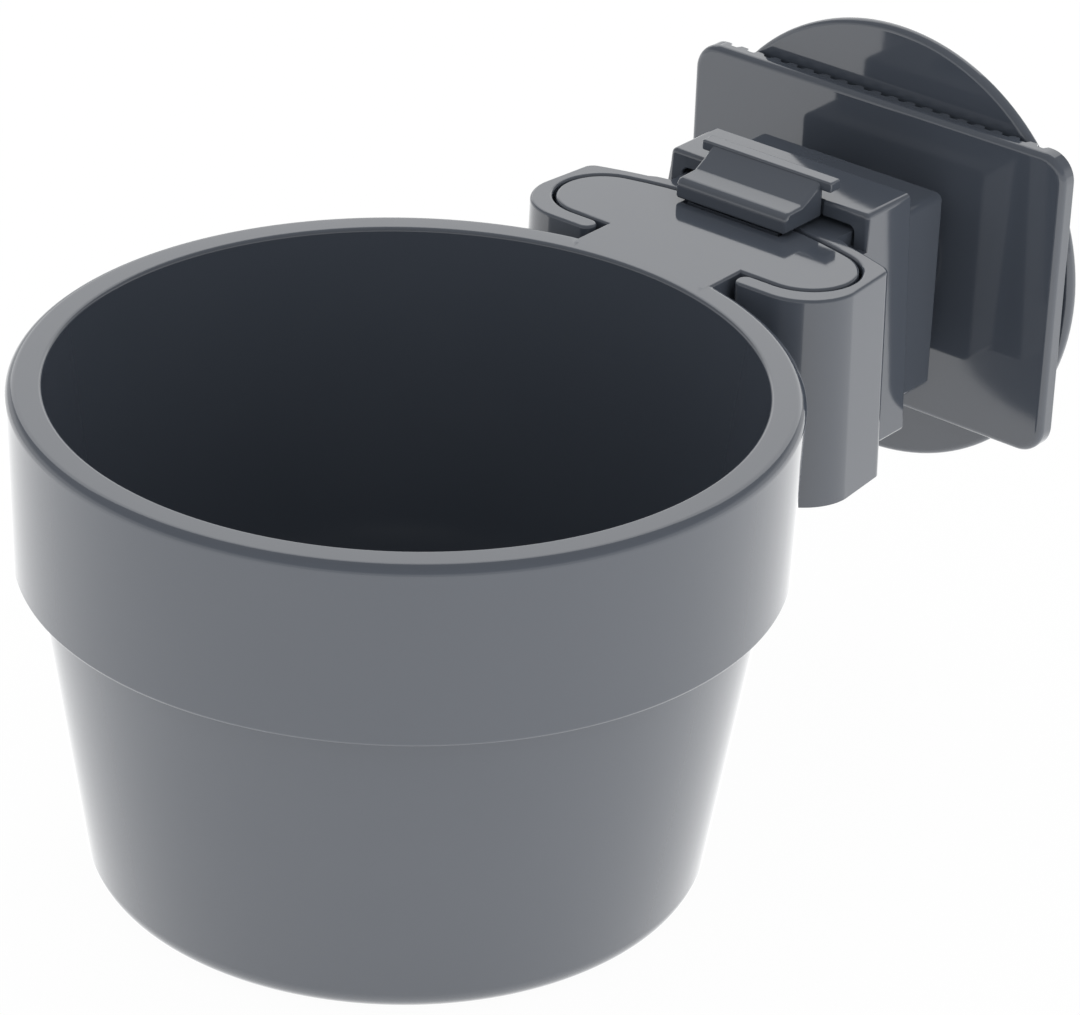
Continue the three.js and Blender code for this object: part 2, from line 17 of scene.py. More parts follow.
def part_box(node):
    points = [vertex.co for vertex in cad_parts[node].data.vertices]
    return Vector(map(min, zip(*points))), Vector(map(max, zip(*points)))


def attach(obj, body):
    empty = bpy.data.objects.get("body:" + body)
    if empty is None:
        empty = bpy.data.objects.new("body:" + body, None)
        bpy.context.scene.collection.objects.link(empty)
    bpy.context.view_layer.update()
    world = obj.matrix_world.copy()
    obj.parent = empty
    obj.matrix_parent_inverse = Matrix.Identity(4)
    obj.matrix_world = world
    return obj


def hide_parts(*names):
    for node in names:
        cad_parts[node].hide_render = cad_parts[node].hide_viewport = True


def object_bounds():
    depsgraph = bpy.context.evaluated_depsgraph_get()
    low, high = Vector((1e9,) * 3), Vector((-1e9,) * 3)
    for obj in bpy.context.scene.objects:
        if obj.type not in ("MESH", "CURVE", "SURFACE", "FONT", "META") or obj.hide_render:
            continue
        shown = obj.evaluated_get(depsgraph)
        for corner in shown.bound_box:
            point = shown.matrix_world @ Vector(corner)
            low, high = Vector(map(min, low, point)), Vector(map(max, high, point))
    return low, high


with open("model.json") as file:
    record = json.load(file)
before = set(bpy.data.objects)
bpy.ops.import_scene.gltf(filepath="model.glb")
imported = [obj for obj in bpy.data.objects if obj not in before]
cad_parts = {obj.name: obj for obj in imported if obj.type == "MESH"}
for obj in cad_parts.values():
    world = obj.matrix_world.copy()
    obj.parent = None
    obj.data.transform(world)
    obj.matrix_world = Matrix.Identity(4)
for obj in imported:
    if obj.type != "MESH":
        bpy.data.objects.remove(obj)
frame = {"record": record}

bl_info = {
    "name": "Clamp-on feeding bowl",
    "version": (1, 0, 0),
    "blender": (4, 5, 0),
    "location": "View3D > Sidebar > Feeding bowl",
    "description": "Builds a cage feeding bowl with its latched holder and screw clamp",
    "category": "Add Mesh",
}

MM = 0.001

# Places from the frame
CAD_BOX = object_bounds()
BASE_MOUNT = next(m for m in frame["record"]["mounts"] if m["name"] == "bowl_base")
RIM_CENTRE = Vector((0.0, BASE_MOUNT["pos_m"][1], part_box("bowl")[1].z))
FLOOR_HEIGHT = CAD_BOX[0].z

# Fineness of the meshes
ARC_SAG = 0.004 * MM
FACE_STEPS = 16
BORE_STEPS = 64
STEM_STEPS = 72
DISC_STEPS = 144
KNOB_STEPS = 96
THREAD_STEPS = 36
NECK_SCREW_STEPS = 48
ROUND_SEGMENTS = 4

# Limits for telling edges and places apart
SHARP_ANGLE = math.radians(25)
SMOOTH_ANGLE = math.radians(40)
AXIS_SHARE = 0.5
NEAR = MM / 10
SPECK = 0.005 * MM
MERGE_DISTANCE = 1e-7
EDGE_WEIGHTS = "bevel_weight_edge"

# Hidden overlaps and gaps
CUT_PAST = 2 * MM
ROOT_SINK = 0.8 * MM
STEM_SINK = 0.5 * MM
POST_END_GAP = 0.8 * MM

# Forms of small features
THREAD_CREST_HALF = 0.4 * MM
THREAD_FOOT_HALF = 1.0 * MM
WING_END_SHARE = 0.99
INNER_EDGE_DIVISOR = 3

# Stage
WHITE = (1, 1, 1, 1)
FLOOR_SIZE = 6
FLOOR_CUTS = 4
FLOOR_DROP = 0.5 * MM
FLOOR_GLOW = 0.97
TABLE_LIFT = 1 * MM
SKY_BRIGHT_BELOW = math.radians(10)
SKY_DIM_ABOVE = math.radians(26)
SKY_OVERHEAD = 0.4
SENSOR_WIDTH = 36
CLIP_START, CLIP_END = 0.01, 20


def length(name, description, millimetres):
    """A length that the user can change, given in millimetres."""
    return FloatProperty(name=name, description=description, default=millimetres * MM, subtype="DISTANCE",
                         unit="LENGTH", precision=5)


def angle(name, description, radians):
    """An angle that the user can change."""
    return FloatProperty(name=name, description=description, default=radians, subtype="ANGLE")


def colour(name, description, red_green_blue):
    """A colour that the user can change."""
    return FloatVectorProperty(name=name, description=description, default=red_green_blue, subtype="COLOR",
                               min=0, max=1)


class BowlSizes(PropertyGroup):
    """Sizes of the bowl and of the tongue on its side."""

    rim_radius: length("Rim radius", "Outside radius of the rim", 50)
    rim_width: length("Rim width", "Width of the rim's flat top", 4.6)
    rim_outer_round: length("Outer rim round", "Round on the rim's outer edge", 1.4)
    rim_inner_round: length("Inner rim round", "Round on the rim's inner edge", 0.6)
    band_height: length("Band height", "Height of the raised band below the rim", 24.4)
    band_draft: length("Band draft", "How much the band narrows to its lower edge", 0.66)
    band_step: length("Band step", "Step from the band in to the body", 2.8)
    band_edge: length("Band edge round", "Round on the band's lower edge", 0.6)
    height: length("Height", "Height of the bowl", 68.2)
    base_radius: length("Base radius", "Radius where the side's slope meets the base", 40)
    base_round: length("Base round", "Round between the side and the base", 3.9)
    base_wall: length("Base wall", "Wall thickness at the base", 2.4)
    floor: length("Floor", "Thickness of the bowl's floor", 2.6)
    floor_round: length("Floor round", "Round between the inside wall and the floor", 6)
    tongue_neck: length("Tongue neck", "Width of the tongue where it leaves the rim", 22.4)
    tongue_reach: length("Tongue reach", "From the rim to the front of the tongue's head", 4.3)
    tongue_head: length("Tongue head", "Width of the tongue's head", 47.6)
    tongue_end: length("Tongue end", "Radius of the head's round ends", 6.9)
    tongue_height: length("Tongue height", "Height of the tongue", 27)
    tongue_round: length("Tongue edge round", "Round on the tongue's top edge", 0.45)
    key_inset: length("Key inset", "How far the holder's rib stays in under the latch's lip", 0.8)
    key_gap: length("Key gap", "Gap between the tongue's key way and the holder's rib", 0.3)
    steps: IntProperty(name="Steps", description="Steps round the bowl", default=180)


class HolderSizes(PropertyGroup):
    """Sizes of the holder, its neck and the bridge over the latch."""

    tongue_gap: length("Tongue gap", "Gap round the tongue's head", 0.4)
    floor_gap: length("Floor gap", "Gap under the tongue", 0.3)
    side_wall: length("Side wall", "Wall beside the tongue's ends", 2)
    rear_wall: length("Rear wall", "Wall behind the tongue", 2)
    floor: length("Floor", "Floor under the tongue", 2.7)
    front_round: length("Front round", "Radius of the upright front corners", 8)
    rear_round: length("Rear round", "Radius of the upright rear corners", 2)
    rear_narrow: length("Rear narrowing", "How much each side narrows from front to rear", 0.7)
    hook: length("Hook", "Thickness of the hooks in front of the tongue's head", 2.9)
    hook_gap: length("Hook gap", "Gap between a hook's tip and the tongue's neck", 0.8)
    draft: length("Draft", "How much each side widens to the bottom", 0.8)
    top_round: length("Top edge round", "Round on the top edges of the pocket's wall", 0.45)
    neck_top: length("Neck top", "Width of the neck at its top", 33.4)
    neck_bottom: length("Neck bottom", "Width of the neck at its bottom", 36.6)
    neck_below: length("Neck drop", "How far the neck reaches below the pocket's floor", 2.2)
    neck_round: length("Neck round", "Round on the neck's lower edges", 0.6)
    shoulder_drop: length("Shoulder drop", "Depth of the shoulders in front of the bridge", 2.4)
    bridge_setback: length("Bridge setback", "From the pocket's wall back to the bridge", 2.2)
    bridge_depth: length("Bridge depth", "Depth of the bridge to the neck's rear", 10)
    bridge_rise: length("Bridge rise", "Height of the bridge's roof above the rim", 2.9)
    bridge_roof: length("Roof", "Thickness of the bridge's roof", 2.3)
    bridge_wall: length("Bridge wall", "Thickness of the bridge's side walls", 2.2)
    bridge_rear: length("Bridge rear", "Thickness of the bridge's rear wall", 2)
    bridge_round: length("Bridge round", "Round on the bridge's long outer edges", 0.8)
    bridge_corner: length("Bridge corner", "Radius of the upper corners under the roof", 1)
    bridge_edge: length("Bridge edge", "Round on the bridge's front and rear edges", 0.7)
    platform_drop: length("Platform drop", "Depth of the platform under the latch", 0.2)
    platform_gap: length("Platform gap", "Gap beside the platform", 0.4)
    notch_gap: length("Notch gap", "Gap beside the latch in the roof's notch", 0.2)


class LatchSizes(PropertyGroup):
    """Sizes of the slide latch."""

    width: length("Width", "Width of the latch", 18.4)
    lift: length("Lift", "Gap between the lip and the tongue", 0.4)
    travel: length("Travel", "How far the latch slides over the tongue", 3.5)
    lip_reach: length("Lip reach", "How far the lip reaches in over the tongue's rear", 4)
    lip_height: length("Lip height", "Height of the lip", 3)
    lip_fall: length("Lip fall", "How far the lip's top falls to its front", 0.1)
    lip_round: length("Lip round", "Round on the lip's front edge", 1.2)
    lip_depth: length("Lip depth", "Depth of the lip's top", 3.9)
    face_depth: length("Face depth", "Depth of the hollow finger face", 3.9)
    face_rise: length("Face rise", "Height of the hollow finger face", 2.65)
    face_hollow: length("Face hollow", "How far the finger face is hollowed", 0.3)
    flange_depth: length("Flange depth", "Depth of the flange over the roof", 2.3)
    flange_thickness: length("Flange thickness", "Thickness of the flange", 1.5)
    flange_overhang: length("Flange overhang", "How far the flange stands out on each side", 1.7)
    flange_round: length("Flange round", "Round on the flange's edges", 0.3)
    leg_width: length("Leg width", "Width of each snap leg", 1.7)
    leg_split: length("Leg split", "Space between the snap legs", 2.4)
    leg_depth: length("Leg depth", "Depth of the snap legs", 3.6)
    leg_barb: length("Leg barb", "How far each barb stands out", 1.4)
    barb_height: length("Barb height", "Height of a barb", 1.3)
    leg_floor: length("Leg floor", "Thickness of the floor that the barbs catch under", 2.4)
    slide_gap: length("Slide gap", "Running gap of the latch", 0.3)
    edge_round: length("Edge round", "Round on the latch's edges", 0.5)


class ClampSizes(PropertyGroup):
    """Sizes of the clamp plate, the disc and the clamp screw."""

    seam: length("Seam", "Gap between pieces that meet", 0.3)
    plate_width: length("Plate width", "Width of the plate", 63)
    plate_height: length("Plate height", "Height of the plate", 45)
    plate_round: length("Plate round", "Radius of the plate's corners", 4)
    plate_web: length("Plate web", "Thickness of the plate under its teeth", 1.9)
    plate_edge: length("Plate edge", "Round on the plate's front edge", 1)
    plate_back: length("Plate back edge", "Round on the plate's rear edge", 0.2)
    standoff: length("Standoff", "From the collar's rear to the plate", 4.8)
    tooth_pitch: length("Tooth pitch", "Spacing of the upright teeth", 2.9)
    tooth_height: length("Tooth height", "Height of the teeth", 0.9)
    tooth_crest: length("Tooth crest", "Width of a tooth's crest", 1)
    tooth_root: length("Tooth root", "Width between two teeth", 1)
    stem_radius: length("Stem radius", "Radius of the stem between collar and plate", 10)
    stem_fillet: length("Stem fillet", "Round where the stem meets collar and plate", 1.5)
    collar_width: length("Collar width", "Width of the collar", 31.2)
    collar_height: length("Collar height", "Height of the collar", 29.4)
    collar_depth: length("Collar depth", "Depth of the collar", 9.4)
    collar_corner: length("Collar corner", "Radius of the collar's corners", 1.2)
    collar_round: length("Collar round", "Round on the collar's edges", 0.6)
    screw_drop: length("Screw drop", "Depth of the clamp screw's axis below the rim", 15.1)
    post_radius: length("Post radius", "Radius of the screw's thread", 6)
    post_reach: length("Post reach", "How far the screw reaches into the neck", 8.2)
    post_gap: length("Post gap", "Gap round the screw", 0.4)
    thread_pitch: length("Thread pitch", "Pitch of the clamp screw's thread", 3)
    thread_depth: length("Thread depth", "Depth of the clamp screw's thread", 0.8)
    thread_length: length("Thread length", "Length of the clamp screw's thread", 21)
    clamp_gap: length("Clamp gap", "Gap between the plate's teeth and the disc", 0.5)
    disc_radius: length("Disc radius", "Radius of the disc", 32.2)
    disc_thickness: length("Disc thickness", "Thickness of the disc", 2)
    disc_round: length("Disc round", "Round on the disc's edge", 0.9)
    hub_radius: length("Hub radius", "Radius of the disc's hub", 14)
    hub_height: length("Hub height", "Height of the disc's hub", 2)
    knob_radius: length("Knob radius", "Radius of the screw's round shoulder", 12)
    knob_thickness: length("Knob thickness", "Thickness of the screw's round shoulder", 3)
    wing_length: length("Wing length", "Length of the wing grip", 36)
    wing_width: length("Wing width", "Width of the wing grip", 9)
    wing_height: length("Wing height", "Height of the wing grip", 8)
    wing_round: length("Wing round", "Round on the wing grip's edge", 1.6)


class ScrewSizes(PropertyGroup):
    """Sizes of the screws between the neck and the collar."""

    head_radius: length("Head radius", "Radius of the head", 2.8)
    head_height: length("Head height", "Height of the head", 2.1)
    head_round: length("Head round", "Round on the head's edge", 1)
    head_sink: length("Head sink", "From the tongue's rear to the head's seat", 2.8)
    head_clearance: length("Head clearance", "Wall between the head and the rib", 0.4)
    radius: length("Radius", "Radius of the screw", 1.5)
    bite: length("Bite", "How far the screw reaches into the collar", 6)
    point: length("Point", "Length of the screw's point", 1.6)
    row_spacing: length("Row spacing", "Height between the two rows of screws", 15)
    slot_width: length("Slot width", "Width of the cross recess", 0.9)
    slot_depth: length("Slot depth", "Depth of the cross recess", 0.9)


class FinishColours(PropertyGroup):
    """Colours of the finishes and of the stage."""

    plastic: colour("Plastic", "Colour of the moulded plastic", (0.058, 0.067, 0.084))
    plastic_shade: colour("Plastic shade", "Darker tone in the moulded plastic", (0.051, 0.060, 0.076))
    steel: colour("Steel", "Colour of the screws", (0.60, 0.61, 0.62))
    floor: colour("Floor", "Colour of the floor", (0.92, 0.92, 0.92))


class CameraView(PropertyGroup):
    """Where the camera stands."""

    azimuth: angle("Azimuth", "Heading of the view", -0.666280)
    elevation: angle("Elevation", "How far the camera looks down", 0.481857874)
    roll: angle("Roll", "Turn about the line of sight", 0.038075393)
    distance: length("Distance", "From the camera to what it looks at", 559.587)
    target: FloatVectorProperty(name="Target", description="Point looked at, from the rim's centre",
                                default=(34.133 * MM, -15.683 * MM, 0.0), subtype="TRANSLATION")
    lens: FloatProperty(name="Lens", description="Focal length in millimetres", default=157.524,
                        subtype="DISTANCE_CAMERA")


def arc(centre, radius, start, end):
    """Points along an arc with both ends, as pairs."""
    turn = end - start
    steps = max(2, math.ceil(abs(turn) / (2 * math.acos(1 - ARC_SAG / radius))))
    return [(centre[0] + radius * math.cos(a), centre[1] + radius * math.sin(a))
            for a in (start + turn * i / steps for i in range(steps + 1))]


def rounded(corners):
    """A closed outline from corners (x, y) or (x, y, radius)."""
    outline = []
    for i, corner in enumerate(corners):
        point = Vector(corner[:2])
        radius = corner[2] if len(corner) > 2 else 0
        before = Vector(corners[i - 1][:2]) - point
        after = Vector(corners[(i + 1) % len(corners)][:2]) - point
        if not radius:
            outline.append(tuple(point))
            continue
        half = before.angle(after) / 2
        centre = point + (before.normalized() + after.normalized()).normalized() * radius / math.sin(half)
        first = point + before.normalized() * radius / math.tan(half) - centre
        last = point + after.normalized() * radius / math.tan(half) - centre
        start = math.atan2(first.y, first.x)
        turn = math.atan2(last.y, last.x) - start
        turn = math.atan2(math.sin(turn), math.cos(turn))
        outline += arc(centre, radius, start, start + turn)
    return outline


def rectangle(half_width, half_height, middle, radius):
    """The outline of a rectangle with round corners, on the middle plane at a height."""
    low, high = middle - half_height, middle + half_height
    return rounded([(-half_width, low, radius), (half_width, low, radius),
                    (half_width, high, radius), (-half_width, high, radius)])


def mirrored(points):
    """The points on the other side of the middle plane, in the order that closes an outline."""
    return [(-x, y) for x, y in reversed(points)]


def pick(piece):
    """Makes a piece the active object and the only one selected."""
    bpy.ops.object.select_all(action="DESELECT")
    piece.select_set(True)
    bpy.context.view_layer.objects.active = piece


def open_mesh(piece):
    """Opens a piece in edit mode with all of it selected."""
    pick(piece)
    bpy.ops.object.mode_set(mode="EDIT")
    bpy.ops.mesh.select_all(action="SELECT")


def close_mesh():
    """Merges doubles, turns the faces outwards and leaves edit mode."""
    bpy.ops.mesh.select_all(action="SELECT")
    bpy.ops.mesh.remove_doubles(threshold=MERGE_DISTANCE)
    bpy.ops.mesh.normals_make_consistent(inside=False)
    bpy.ops.object.mode_set(mode="OBJECT")


def apply_modifier(piece, modifier):
    """Makes a modifier's result the piece's own mesh."""
    pick(piece)
    bpy.ops.object.modifier_apply(modifier=modifier.name)


def wire(name, points):
    """A chain of edges through the points, drawn by extruding one vertex and left open in edit mode."""
    places = [RIM_CENTRE + Vector(p) for p in points]
    bpy.ops.object.select_all(action="DESELECT")
    bpy.ops.mesh.primitive_plane_add(size=MM, location=(0, 0, 0))
    piece = bpy.context.active_object
    piece.name = piece.data.name = name
    bpy.ops.object.mode_set(mode="EDIT")
    bpy.ops.mesh.select_mode(type="VERT")
    bpy.ops.mesh.select_all(action="SELECT")
    bpy.ops.mesh.merge(type="CENTER")
    bpy.ops.transform.translate(value=places[0])
    for here, there in zip(places, places[1:]):
        bpy.ops.mesh.extrude_vertices_move(TRANSFORM_OT_translate={"value": there - here})
    return piece


def swept(name, points, sweep):
    """A closed outline, filled and drawn along a straight line."""
    piece = wire(name, points)
    bpy.ops.mesh.select_all(action="SELECT")
    bpy.ops.mesh.edge_face_add()
    bpy.ops.mesh.extrude_region_move(TRANSFORM_OT_translate={"value": sweep})
    close_mesh()
    return piece


def upright(name, plan, low, high):
    """An outline in X and Y, drawn upwards."""
    return swept(name, [(x, y, low) for x, y in plan], (0, 0, high - low))


def across(name, section, left, right):
    """An outline in Y and Z, drawn along X."""
    return swept(name, [(left, y, z) for y, z in section], (right - left, 0, 0))


def along(name, face, near, far):
    """An outline in X and Z, drawn along Y."""
    return swept(name, [(x, near, z) for x, z in face], (0, far - near, 0))


def block(name, xs, ys, zs):
    """A block with square edges, between pairs of limits."""
    return upright(name, [(xs[0], ys[0]), (xs[1], ys[0]), (xs[1], ys[1]), (xs[0], ys[1])], *zs)


def turned(name, points, centre, axis, steps):
    """An outline spun about an axis through a place."""
    piece = wire(name, points)
    bpy.ops.mesh.select_all(action="SELECT")
    bpy.ops.mesh.spin(steps=steps, angle=math.tau, center=RIM_CENTRE + Vector(centre), axis=axis)
    close_mesh()
    return piece


def turned_upright(name, profile, steps):
    """A profile of radius and height, spun about the bowl's axis."""
    return turned(name, [(r, 0, z) for r, z in profile], (0, 0, 0), (0, 0, 1), steps)


def turned_level(name, profile, x, z, steps):
    """A profile of radius and distance along Y, spun about a level axis."""
    return turned(name, [(x + r, y, z) for r, y in profile], (x, 0, z), (0, 1, 0), steps)


def bar(name, radius, ys, x, z):
    """A plain round cutter along Y."""
    return turned_level(name, [(0, ys[0]), (radius, ys[0]), (radius, ys[1]), (0, ys[1])], x, z, BORE_STEPS)


def combine(piece, other, operation):
    """Joins or cuts a piece with another one, which is used up."""
    modifier = piece.modifiers.new("combine", "BOOLEAN")
    modifier.operation = operation
    modifier.solver = "EXACT"
    modifier.object = other
    apply_modifier(piece, modifier)
    bpy.data.objects.remove(other)


def fuse(piece, *others):
    """Joins other pieces to a piece."""
    for other in others:
        combine(piece, other, "UNION")


def cut(piece, *others):
    """Takes other pieces out of a piece."""
    for other in others:
        combine(piece, other, "DIFFERENCE")


def clean(piece):
    """Takes out the specks that joining and cutting leave."""
    open_mesh(piece)
    bpy.ops.mesh.remove_doubles(threshold=SPECK)
    bpy.ops.mesh.dissolve_degenerate(threshold=SPECK)
    bpy.ops.object.mode_set(mode="OBJECT")


def drop_weights(piece):
    """Takes the weights of a rounding off a piece's edges."""
    weights = piece.data.attributes.get(EDGE_WEIGHTS)
    if weights:
        piece.data.attributes.remove(weights)


def runs_along(share):
    """Whether an edge follows an axis, by the share of its run that lies along it."""
    return abs(share) > AXIS_SHARE


def round_edges(piece, radius_at):
    """Rounds the sharp edges.

    radius_at gives the radius for an edge's middle, from the rim's centre, its run and the edge itself.
    """
    clean(piece)
    work = bmesh.new()
    work.from_mesh(piece.data)
    radii = []
    for edge in work.edges:
        radius = 0
        if len(edge.link_faces) == 2 and edge.calc_face_angle() > SHARP_ANGLE:
            middle = (edge.verts[0].co + edge.verts[1].co) / 2 - RIM_CENTRE
            run = (edge.verts[1].co - edge.verts[0].co).normalized()
            radius = radius_at(middle, run, edge)
        radii.append(radius)
    work.free()
    widest = max(radii)
    drop_weights(piece)
    weights = piece.data.attributes.new(EDGE_WEIGHTS, "FLOAT", "EDGE")
    weights.data.foreach_set("value", [r / widest for r in radii])
    modifier = piece.modifiers.new("round", "BEVEL")
    modifier.limit_method = "WEIGHT"
    modifier.width = widest
    modifier.segments = ROUND_SEGMENTS
    modifier.use_clamp_overlap = False
    modifier.face_strength_mode = "FSTR_ALL"
    apply_modifier(piece, modifier)
    drop_weights(piece)


def finish_piece(piece, material, body, slot, *nodes, split=True):
    """Smooths a piece's shading, ties it to its body and its finish, and hides the solids that it stands
    for.

    split cuts up the faces that have hollow corners. Wide flat tops shade more evenly when they stay whole.
    """
    if split:
        open_mesh(piece)
        bpy.ops.mesh.vert_connect_concave()
        bpy.ops.object.mode_set(mode="OBJECT")
    pick(piece)
    bpy.ops.object.shade_smooth_by_angle(angle=SMOOTH_ANGLE)
    modifier = piece.modifiers.new("flat faces", "WEIGHTED_NORMAL")
    modifier.keep_sharp = True
    modifier.use_face_influence = True
    apply_modifier(piece, modifier)
    piece.data.materials.clear()
    piece.data.materials.append(material)
    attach(piece, body)
    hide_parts(*nodes)


def finish_plastic(scene, piece, body, node, split=True):
    """Finishes a piece that is moulded in grey plastic."""
    finish_piece(piece, moulded_plastic(scene.finish_colours), body, "grey_plastic", node, split=split)


def new_material(name):
    """A node material and its tree, or no tree where the material has been made before."""
    material = bpy.data.materials.get(name)
    if material:
        return material, None
    material = bpy.data.materials.new(name)
    material.use_nodes = True
    return material, material.node_tree


def feed(tree, node, inputs):
    """Gives each input of a node its value, or the output that feeds it."""
    for name, value in inputs.items():
        if isinstance(value, NodeSocket):
            tree.links.new(value, node.inputs[name])
        else:
            node.inputs[name].default_value = value


def add_node(tree, kind, inputs, **settings):
    """Adds a shader node with its settings and inputs."""
    node = tree.nodes.new("ShaderNode" + kind)
    for name, value in settings.items():
        setattr(node, name, value)
    feed(tree, node, inputs)
    return node


def moulded_plastic(colours):
    """Glossy grey plastic with faint flow marks in its colour and gloss and a fine ripple in its skin."""
    material, tree = new_material("moulded grey plastic")
    if tree:
        place = add_node(tree, "TexCoord", {}).outputs["Object"]
        flow = add_node(tree, "TexNoise", {"Vector": place, "Scale": 45, "Detail": 4}).outputs["Fac"]
        tones = {"Factor": flow, "A": (*colours.plastic_shade, 1), "B": (*colours.plastic, 1)}
        tone = add_node(tree, "Mix", tones, data_type="RGBA")
        gloss = add_node(tree, "MapRange", {"Value": flow, "To Min": 0.05, "To Max": 0.09})
        skin = add_node(tree, "TexNoise", {"Vector": place, "Scale": 420, "Detail": 2}).outputs["Fac"]
        ripple = add_node(tree, "Bump", {"Height": skin, "Strength": 0.015, "Distance": 0.2 * MM})
        feed(tree, tree.nodes["Principled BSDF"], {
            "IOR": 1.6,
            "Specular IOR Level": 0.6,
            "Base Color": tone.outputs["Result"],
            "Roughness": gloss.outputs["Result"],
            "Normal": ripple.outputs["Normal"],
        })
    return material


def turned_steel(colours):
    """Zinc-plated steel with fine turning marks."""
    material, tree = new_material("plated screw steel")
    if tree:
        place = add_node(tree, "TexCoord", {}).outputs["Object"]
        marks = add_node(tree, "TexNoise", {"Vector": place, "Scale": 900}).outputs["Fac"]
        gloss = add_node(tree, "MapRange", {"Value": marks, "To Min": 0.22, "To Max": 0.4})
        feed(tree, tree.nodes["Principled BSDF"], {
            "Metallic": 1,
            "Base Color": (*colours.steel, 1),
            "Roughness": gloss.outputs["Result"],
        })
    return material


def white_floor(colours):
    """Matt floor that glows white to the camera and in glossy reflections."""
    material, tree = new_material("white studio floor")
    if tree:
        matt = tree.nodes["Principled BSDF"]
        feed(tree, matt, {"Base Color": (*colours.floor, 1), "Roughness": 0.9, "Specular IOR Level": 0})
        glow = add_node(tree, "Emission", {"Strength": 1})
        rays = add_node(tree, "LightPath", {}).outputs
        seen = add_node(tree, "Math", {0: rays["Is Camera Ray"], 1: rays["Is Glossy Ray"]},
                        operation="MAXIMUM")
        share = add_node(tree, "Math", {0: seen.outputs[0], 1: FLOOR_GLOW}, operation="MULTIPLY")
        mix = add_node(tree, "MixShader", {0: share.outputs[0], 1: matt.outputs["BSDF"],
                                           2: glow.outputs["Emission"]})
        feed(tree, tree.nodes["Material Output"], {"Surface": mix.outputs["Shader"]})
    return material


class Layout:
    """Places that follow from the sizes, from the rim's centre."""

    def __init__(self, scene):
        bowl, holder, latch = scene.bowl_sizes, scene.holder_sizes, scene.latch_sizes
        clamp, screws = scene.clamp_sizes, scene.screw_sizes
        self.rim_inner = bowl.rim_radius - bowl.rim_width
        self.head_front = bowl.rim_radius + bowl.tongue_reach
        self.head_half = bowl.tongue_head / 2
        self.end_centre = Vector((self.head_half - bowl.tongue_end, self.head_front + bowl.tongue_end))
        self.head_rear = self.end_centre.length + bowl.tongue_end
        self.latch_half = latch.width / 2
        self.lip_front = self.head_rear - latch.lip_reach
        self.rib_half = self.latch_half - 2 * bowl.key_inset
        self.rib_front = self.lip_front + bowl.key_inset
        self.pocket_floor = -bowl.tongue_height - holder.floor_gap
        self.holder_bottom = self.pocket_floor - holder.floor
        self.holder_rear = self.head_rear + holder.tongue_gap + holder.rear_wall
        self.bridge_front = self.holder_rear + holder.bridge_setback
        self.neck_end = self.bridge_front + holder.bridge_depth
        self.neck_bottom = self.holder_bottom - holder.neck_below
        self.flange_front = self.lip_front + latch.lip_depth + latch.face_depth
        self.flange_rear = self.flange_front + latch.flange_depth
        self.stem_rear = self.flange_rear - latch.flange_thickness
        self.legs_rear = self.stem_rear - latch.slide_gap
        self.legs_front = self.legs_rear - latch.leg_depth
        self.leg_half = latch.leg_split / 2 + latch.leg_width
        self.leg_floor_bottom = -holder.platform_drop - latch.leg_floor
        self.barb_top = self.leg_floor_bottom - latch.slide_gap
        self.barb_bottom = self.barb_top - latch.barb_height
        self.collar_front = self.neck_end + clamp.seam
        self.collar_rear = self.collar_front + clamp.collar_depth
        self.plate_front = self.collar_rear + clamp.standoff
        self.tooth_roots = self.plate_front + clamp.plate_web
        self.grip = self.tooth_roots + clamp.tooth_height
        self.disc_front = self.grip + clamp.clamp_gap
        self.disc_rear = self.disc_front + clamp.disc_thickness
        self.knob_front = self.disc_rear + clamp.hub_height + clamp.seam
        self.knob_rear = self.knob_front + clamp.knob_thickness
        self.post_tip = self.neck_end - clamp.post_reach
        self.bore = clamp.post_radius + clamp.post_gap
        self.screw_seat = self.head_rear + screws.head_sink
        self.screw_tip = self.collar_front + screws.bite
        self.screw_hole = screws.radius + clamp.seam
        self.head_hole = screws.head_radius + clamp.seam
        column = self.latch_half + screws.head_clearance + clamp.seam + screws.head_radius
        half_row = screws.row_spacing / 2
        self.screw_places = [(side * column, -clamp.screw_drop + row)
                             for row in (half_row, -half_row) for side in (-1, 1)]

    def tongue_plan(self, start, end_round, rear, key_half, key_front):
        """The tongue's plan: start is its outline from the bowl to the head, on the right."""
        end_angle = math.atan2(self.end_centre.y, self.end_centre.x)
        right = [*start,
                 *arc(self.end_centre, end_round, -math.pi / 2, end_angle),
                 *arc((0, 0), rear, end_angle, math.acos(key_half / rear))[1:],
                 (key_half, key_front)]
        return right + mirrored(right)


